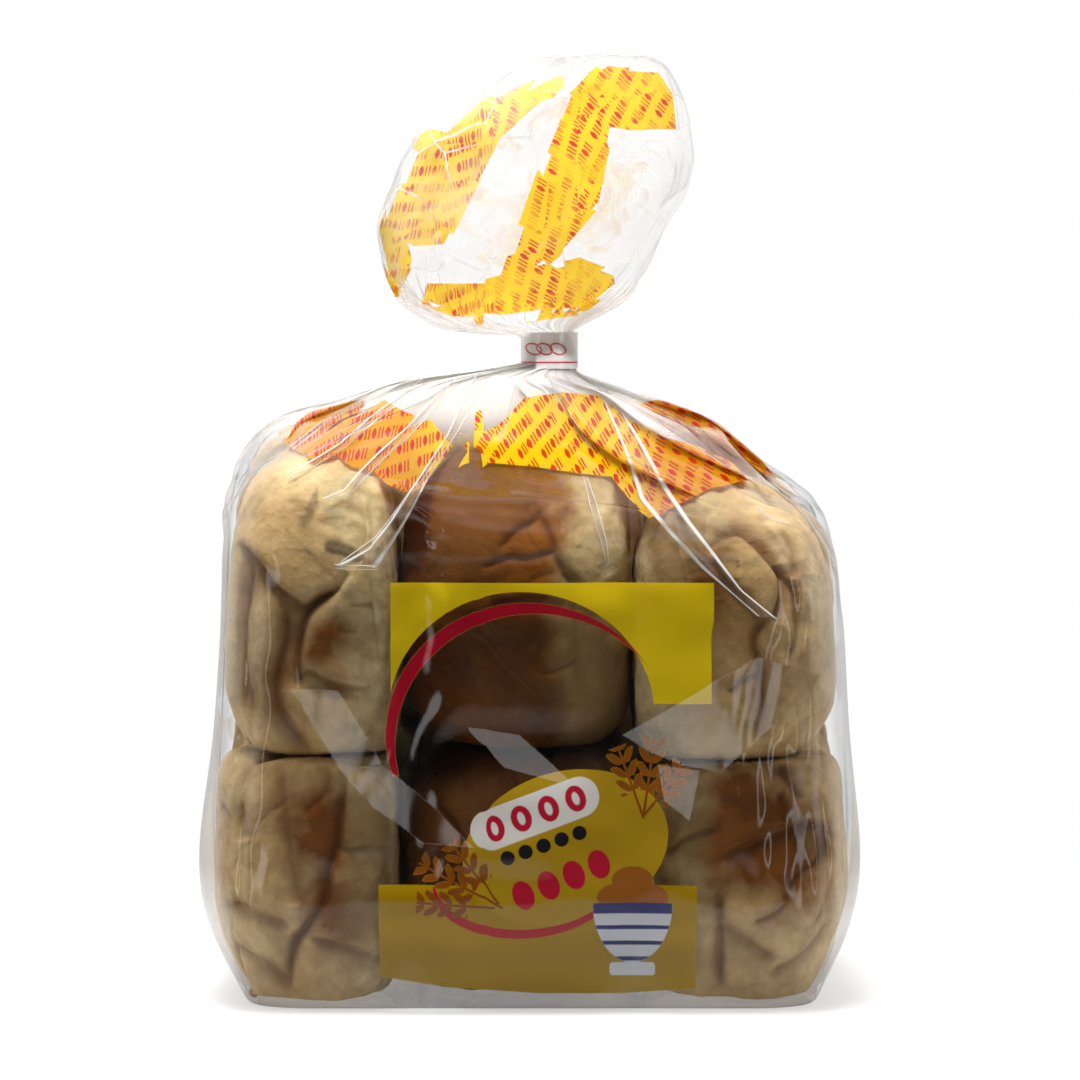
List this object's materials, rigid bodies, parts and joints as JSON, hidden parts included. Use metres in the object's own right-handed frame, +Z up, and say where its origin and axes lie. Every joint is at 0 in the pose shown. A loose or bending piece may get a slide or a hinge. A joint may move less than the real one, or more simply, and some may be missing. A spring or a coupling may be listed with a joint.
{
  "type": "bag of round buns",
  "caption": "clear film bag of round bread buns in two layers, gathered at the top and closed with a strip of tape, with a puffed tail of spare film",
  "frame": {"origin": "on the table, at the middle of the bag's footprint box", "axes": "+Z up, out of the gathered top; +X to the viewer's right as the label is seen; +Y away from the viewer, so the label faces -Y"},
  "size_m": [0.1682, 0.1328, 0.234],
  "materials": {
    "bag": "clear glossy film, printed with yellow bands and a yellow label, over golden brown buns",
    "closure_tape": "pinkish white tape with thin red lines"
  },
  "bodies": {
    "root": {"bag": "bag", "closure_tape": "closure_tape"}
  },
  "joints": []
}
